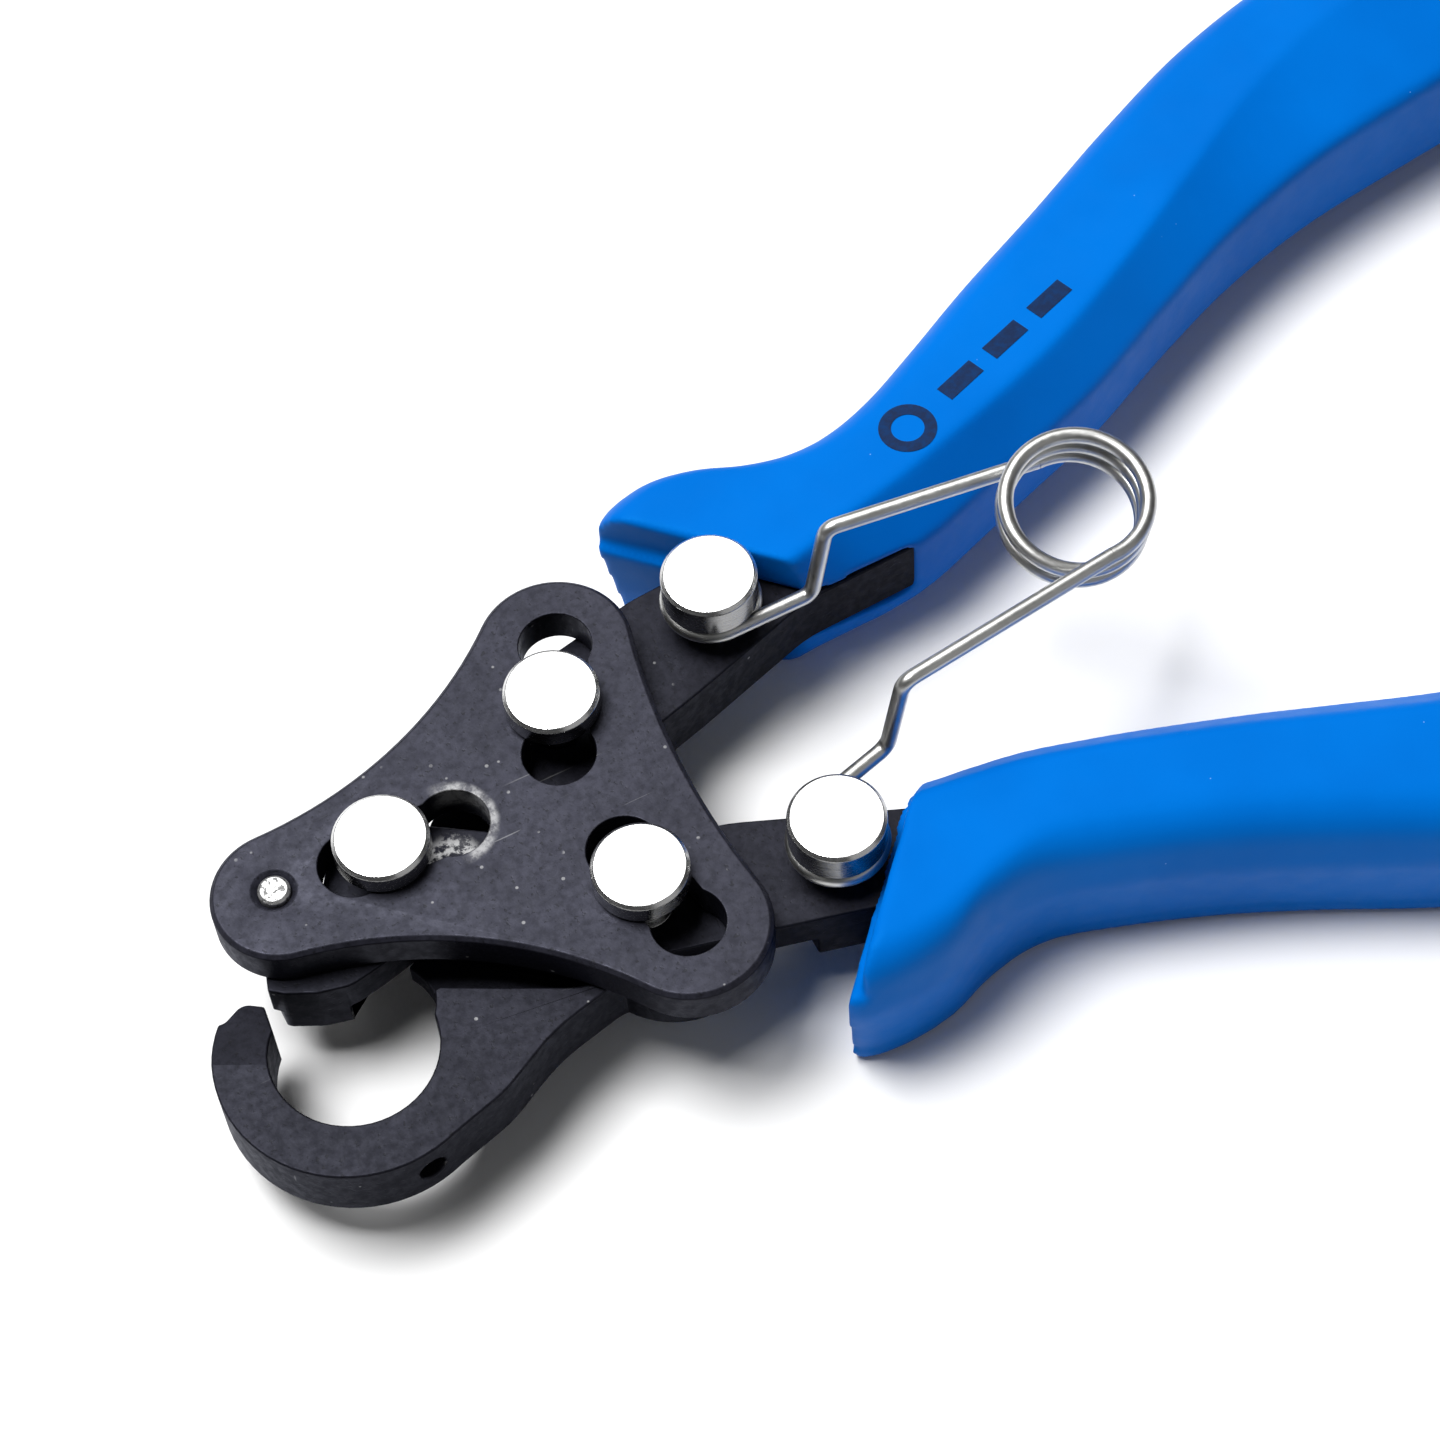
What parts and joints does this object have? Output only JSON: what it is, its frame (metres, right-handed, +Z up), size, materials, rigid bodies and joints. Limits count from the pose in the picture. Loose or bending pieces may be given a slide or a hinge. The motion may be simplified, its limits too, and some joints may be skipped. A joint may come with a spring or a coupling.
{
  "type": "wire looping pliers",
  "caption": "One-step wire-looping pliers: ring jaw, nose jaw, floating guide plate on headed pins, coil return spring and two moulded blue handles.",
  "frame": {"origin": "centre of the closed bounding box in plan, on the surface that the grips lie on (handles open at rest)", "axes": "+X from the jaws to the handle ends, +Y towards the ring-jaw lever's handle, +Z up, out of the guide plate"},
  "size_m": [0.1494, 0.0808, 0.0202],
  "materials": {
    "black_steel": "black oxide, satin, worn bright at edges",
    "bright_pin": "turned and polished steel",
    "spring_wire": "bright spring wire",
    "blue_grip": "moulded, satin"
  },
  "bodies": {
    "anvil_side": {"anvil_jaw_lever": "black_steel", "nose_guide_pin": "bright_pin", "pivot_pin": "bright_pin", "pivot_washer": "bright_pin", "lower_spring_post": "bright_pin", "lower_grip": "blue_grip", "return_spring": "spring_wire"},
    "ring_side": {"ring_jaw_lever": "black_steel", "top_guide_pin": "bright_pin", "upper_spring_post": "bright_pin", "upper_grip": "blue_grip"},
    "plate": {"guide_plate": "black_steel", "mandrel_pin": "bright_pin"}
  },
  "joints": [
    {"name": "handle_squeeze", "type": "hinge", "parent": "anvil_side", "child": "ring_side", "pos_m": [-0.0436, -0.0089, 0.0067], "axis": [0, 0, -1], "range_deg": [0, 12], "stiffness_Nm_per_rad": 0.8, "springref_deg": -20.05, "deforming": ["return_spring"]},
    {"name": "plate_float", "type": "hinge", "parent": "anvil_side", "child": "plate", "pos_m": [-0.05846, -0.01195, 0.011], "axis": [0, 0, -1], "range_deg": [0, 7.5]}
  ],
  "couplings": [
    {"joint": "plate_float", "follows": "handle_squeeze", "ratio": 0.617}
  ]
}
